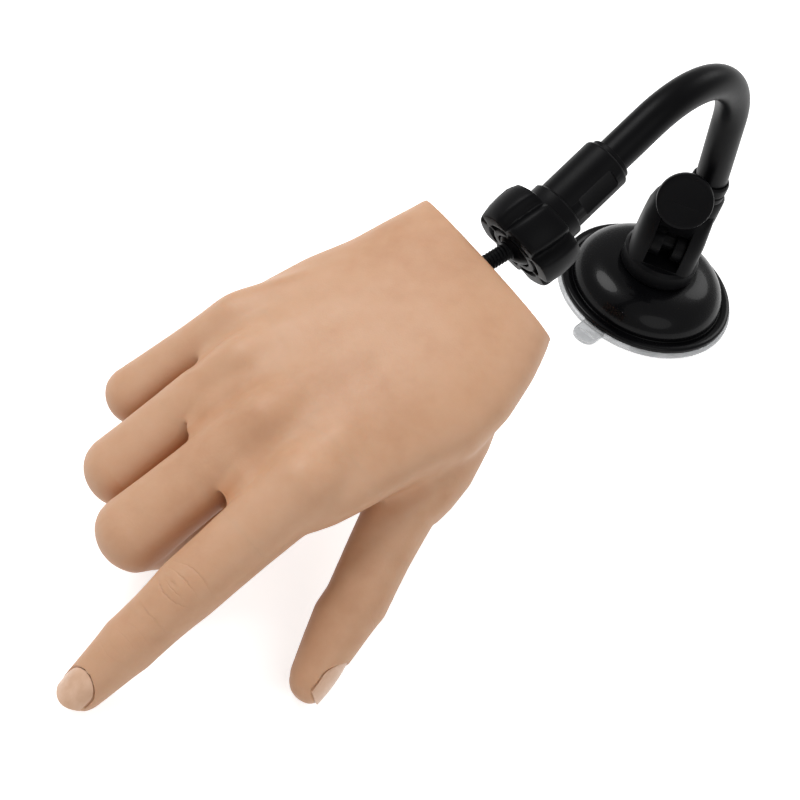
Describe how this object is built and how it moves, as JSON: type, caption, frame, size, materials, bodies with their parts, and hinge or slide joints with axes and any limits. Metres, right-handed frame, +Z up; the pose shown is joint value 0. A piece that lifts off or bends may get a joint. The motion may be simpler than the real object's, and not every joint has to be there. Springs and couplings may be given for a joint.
{
  "type": "nail practice hand",
  "caption": "Jointed silicone practice hand on a ball joint, held by a bendable gooseneck arm on a lever-locked suction base.",
  "frame": {"origin": "centre of the suction face that sticks to the table", "axes": "+Z up out of the table, -Y towards the fingertips, +X to the side"},
  "size_m": [0.2045, 0.3124, 0.1313],
  "materials": {
    "skin": "matte silicone, warm beige",
    "nail": "satin",
    "satin_black": "satin moulded",
    "gloss_black": "gloss",
    "film": "clear grey soft vinyl",
    "steel": "zinc plated"
  },
  "bodies": {
    "base": {"suction_film": "film", "dome_shell": "gloss_black"},
    "turret": {"turret_housing": "satin_black", "ferrule_ring": "satin_black", "gooseneck_root": "satin_black"},
    "stem": {"pull_stem": "steel", "lever_pin": "steel"},
    "lever": {"cam_lever": "satin_black"},
    "arm_1": {"gooseneck_1": "satin_black"},
    "arm_2": {"gooseneck_2": "satin_black"},
    "arm_3": {"gooseneck_3": "satin_black"},
    "arm_4": {"gooseneck_4": "satin_black"},
    "arm_5": {"gooseneck_5": "satin_black", "sleeve": "satin_black"},
    "nut": {"clamp_nut": "satin_black"},
    "seat": {"ball_seat": "satin_black"},
    "stud": {"ball_stud": "steel"},
    "hand": {"wrist_plug": "satin_black", "palm_frame": "steel", "palm_skin": "skin"},
    "index_proximal": {"index_proximal_skin": "skin", "index_proximal_bone": "steel"},
    "index_middle": {"index_middle_skin": "skin", "index_middle_bone": "steel"},
    "index_distal": {"index_distal_skin": "skin", "index_distal_bone": "steel", "index_nail": "nail"},
    "middle_proximal": {"middle_proximal_skin": "skin", "middle_proximal_bone": "steel"},
    "middle_middle": {"middle_middle_skin": "skin", "middle_middle_bone": "steel"},
    "middle_distal": {"middle_distal_skin": "skin", "middle_distal_bone": "steel", "middle_nail": "nail"},
    "ring_proximal": {"ring_proximal_skin": "skin", "ring_proximal_bone": "steel"},
    "ring_middle": {"ring_middle_skin": "skin", "ring_middle_bone": "steel"},
    "ring_distal": {"ring_distal_skin": "skin", "ring_distal_bone": "steel", "ring_nail": "nail"},
    "little_proximal": {"little_proximal_skin": "skin", "little_proximal_bone": "steel"},
    "little_middle": {"little_middle_skin": "skin", "little_middle_bone": "steel"},
    "little_distal": {"little_distal_skin": "skin", "little_distal_bone": "steel", "little_nail": "nail"},
    "thumb_proximal": {"thumb_proximal_skin": "skin", "thumb_proximal_bone": "steel"},
    "thumb_distal": {"thumb_distal_skin": "skin", "thumb_distal_bone": "steel", "thumb_nail": "nail"}
  },
  "joints": [
    {"name": "base_swivel", "type": "hinge", "parent": "base", "child": "turret", "pos_m": [0, 0, 0.0163], "axis": [0, 0, 1], "continuous": true},
    {"name": "stem_lift", "type": "slide", "parent": "turret", "child": "stem", "axis": [0, 0, 1], "range_m": [0, 0.003]},
    {"name": "lever_throw", "type": "hinge", "parent": "stem", "child": "lever", "pos_m": [0, -0.0015, 0.031], "axis": [1, 0, 0], "range_deg": [0, 85]},
    {"name": "arm_bend_1", "type": "hinge", "parent": "turret", "child": "arm_1", "pos_m": [0.00413, 0.00177, 0.06874], "axis": [0.8599, -0.5105, 0], "range_deg": [-15, 15]},
    {"name": "arm_bend_2", "type": "hinge", "parent": "arm_1", "child": "arm_2", "pos_m": [0.0004, -0.00451, 0.09473], "axis": [0.4915, 0.8278, 0.2706], "range_deg": [-20, 20]},
    {"name": "arm_bend_3", "type": "hinge", "parent": "arm_2", "child": "arm_3", "pos_m": [-0.00673, -0.01653, 0.11614], "axis": [0.8599, -0.5105, 0], "range_deg": [-20, 20]},
    {"name": "arm_bend_4", "type": "hinge", "parent": "arm_3", "child": "arm_4", "pos_m": [-0.01895, -0.0371, 0.12515], "axis": [0.0223, 0.0376, 0.999], "range_deg": [-20, 20]},
    {"name": "arm_bend_5", "type": "hinge", "parent": "arm_4", "child": "arm_5", "pos_m": [-0.03153, -0.05829, 0.1183], "axis": [0.8599, -0.5105, 0], "range_deg": [-17, 17]},
    {"name": "nut_turn", "type": "hinge", "parent": "arm_5", "child": "nut", "pos_m": [-0.05559, -0.09882, 0.08953], "axis": [-0.4358, -0.7339, -0.521], "continuous": true},
    {"name": "ball_swivel", "type": "hinge", "parent": "arm_5", "child": "seat", "pos_m": [-0.05559, -0.09882, 0.08953], "axis": [-0.4358, -0.7339, -0.521], "continuous": true},
    {"name": "ball_tilt", "type": "hinge", "parent": "seat", "child": "stud", "pos_m": [-0.05559, -0.09882, 0.08953], "axis": [-0.6349, 0.661, -0.4001], "range_deg": [-40, 9]},
    {"name": "hand_spin", "type": "hinge", "parent": "stud", "child": "hand", "pos_m": [-0.06438, -0.11006, 0.08489], "axis": [-0.5855, -0.7494, -0.309], "continuous": true},
    {"name": "index_knuckle", "type": "hinge", "parent": "hand", "child": "index_proximal", "pos_m": [-0.09501, -0.20287, 0.05605], "axis": [0.8324, -0.5536, 0.0248], "range_deg": [-12, 54]},
    {"name": "index_middle_joint", "type": "hinge", "parent": "index_proximal", "child": "index_middle", "pos_m": [-0.11698, -0.23696, 0.0327], "axis": [0.8324, -0.5536, 0.0248], "range_deg": [-4, 88]},
    {"name": "index_end_joint", "type": "hinge", "parent": "index_middle", "child": "index_distal", "pos_m": [-0.12773, -0.25372, 0.0193], "axis": [0.8324, -0.5536, 0.0248], "range_deg": [-2, 43]},
    {"name": "middle_knuckle", "type": "hinge", "parent": "hand", "child": "middle_proximal", "pos_m": [-0.11229, -0.18487, 0.05615], "axis": [0.7787, -0.6274, -0.0049], "range_deg": [-16.6, 53.4]},
    {"name": "middle_middle_joint", "type": "hinge", "parent": "middle_proximal", "child": "middle_middle", "pos_m": [-0.1404, -0.21952, 0.02538], "axis": [0.7787, -0.6274, -0.0049], "range_deg": [-110, 0]},
    {"name": "middle_end_joint", "type": "hinge", "parent": "middle_middle", "child": "middle_distal", "pos_m": [-0.12558, -0.201, 0.00852], "axis": [0.7787, -0.6274, -0.0049], "range_deg": [-44, 1]},
    {"name": "ring_knuckle", "type": "hinge", "parent": "hand", "child": "ring_proximal", "pos_m": [-0.12679, -0.16444, 0.05575], "axis": [0.7671, -0.6414, -0.0108], "range_deg": [-21.2, 48.8]},
    {"name": "ring_middle_joint", "type": "hinge", "parent": "ring_proximal", "child": "ring_middle", "pos_m": [-0.15351, -0.19584, 0.02214], "axis": [0.7671, -0.6414, -0.0108], "range_deg": [-110, 0]},
    {"name": "ring_end_joint", "type": "hinge", "parent": "ring_middle", "child": "ring_distal", "pos_m": [-0.13821, -0.17729, 0.00779], "axis": [0.7671, -0.6414, -0.0108], "range_deg": [-44, 1]},
    {"name": "little_knuckle", "type": "hinge", "parent": "hand", "child": "little_proximal", "pos_m": [-0.13454, -0.14562, 0.05586], "axis": [0.6744, -0.7364, -0.0537], "range_deg": [-25, 39]},
    {"name": "little_middle_joint", "type": "hinge", "parent": "little_proximal", "child": "little_middle", "pos_m": [-0.15996, -0.16668, 0.02543], "axis": [0.6744, -0.7364, -0.0537], "range_deg": [-104, 6]},
    {"name": "little_end_joint", "type": "hinge", "parent": "little_middle", "child": "little_distal", "pos_m": [-0.14695, -0.1539, 0.0135], "axis": [0.6744, -0.7364, -0.0537], "range_deg": [-42, 3]},
    {"name": "thumb_knuckle", "type": "hinge", "parent": "hand", "child": "thumb_proximal", "pos_m": [-0.06429, -0.18629, 0.04436], "axis": [0.1516, 0.5563, -0.817], "range_deg": [-8, 5]},
    {"name": "thumb_end_joint", "type": "hinge", "parent": "thumb_proximal", "child": "thumb_distal", "pos_m": [-0.06766, -0.21313, 0.02546], "axis": [0.1516, 0.5563, -0.817], "range_deg": [-2.3, 32.7]}
  ],
  "couplings": [
    {"joint": "stem_lift", "follows": "lever_throw", "m_per_rad": 0.002022}
  ]
}
